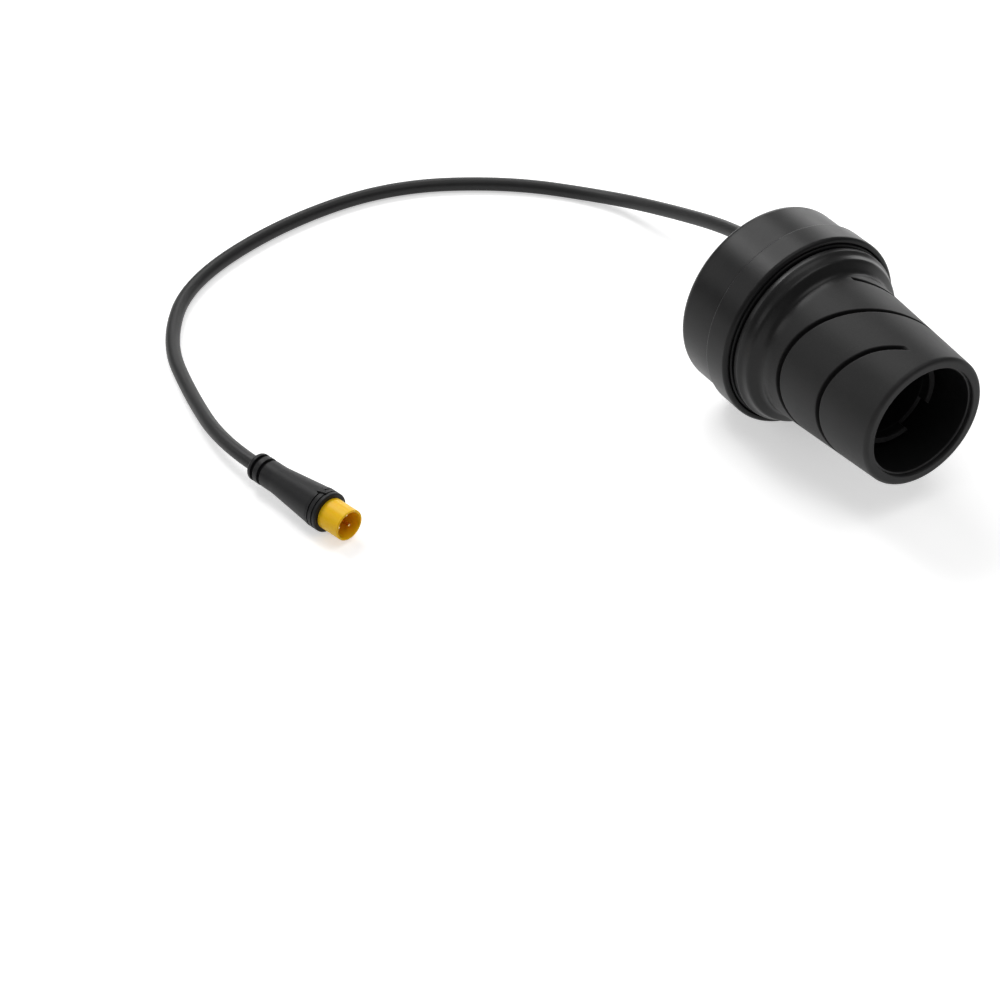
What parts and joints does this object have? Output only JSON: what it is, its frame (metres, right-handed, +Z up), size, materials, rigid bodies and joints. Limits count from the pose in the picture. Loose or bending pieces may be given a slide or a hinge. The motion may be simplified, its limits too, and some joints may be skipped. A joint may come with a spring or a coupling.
{
  "type": "half twist throttle",
  "caption": "Sprung twist grip throttle for a handlebar: stepped drum, tapered rubber sleeve with slanted grooves, sensor cable and keyed plug.",
  "frame": {"origin": "centre of the bar bore in the plane of the drum's rear face", "axes": "+X along the bar towards the mouth of the grip, +Y forward, +Z up"},
  "size_m": [0.2069, 0.1702, 0.0552],
  "materials": {
    "housing_plastic": "fine matt moulding",
    "ring_plastic": "satin moulding",
    "grip_rubber": "matt soft rubber",
    "carrier_plastic": "satin moulding",
    "cable_jacket": "satin cable jacket",
    "plug_rubber": "matt overmoulding",
    "plug_yellow": "satin yellow moulding",
    "contact_brass": "gold plated",
    "insert_brass": "turned brass",
    "screw_steel": "blackened steel",
    "spring_steel": "bright spring wire",
    "magnet_nickel": "nickel plated",
    "sensor_epoxy": "moulded epoxy",
    "wire_red": "wire insulation",
    "wire_green": "wire insulation",
    "wire_black": "wire insulation"
  },
  "bodies": {
    "housing": {"base_housing": "housing_plastic", "front_ring": "ring_plastic", "clamp_insert": "insert_brass", "clamp_screw": "screw_steel", "hall_sensor": "sensor_epoxy", "supply_wire": "wire_red", "signal_wire": "wire_green", "ground_wire": "wire_black", "return_spring": "spring_steel", "cable_grommet": "plug_rubber", "cable": "cable_jacket", "plug_body": "plug_rubber", "plug_cup": "plug_yellow", "contact_pins": "contact_brass"},
    "rotor": {"rotor_carrier": "carrier_plastic", "grip_sleeve": "grip_rubber", "magnet_a": "magnet_nickel", "magnet_b": "magnet_nickel"}
  },
  "joints": [
    {"name": "twist", "type": "hinge", "parent": "housing", "child": "rotor", "pos_m": [0, 0, 0], "axis": [1, 0, 0], "range_deg": [0, 70], "stiffness_Nm_per_rad": 0.12, "springref_deg": -45.84, "deforming": ["return_spring"]}
  ]
}
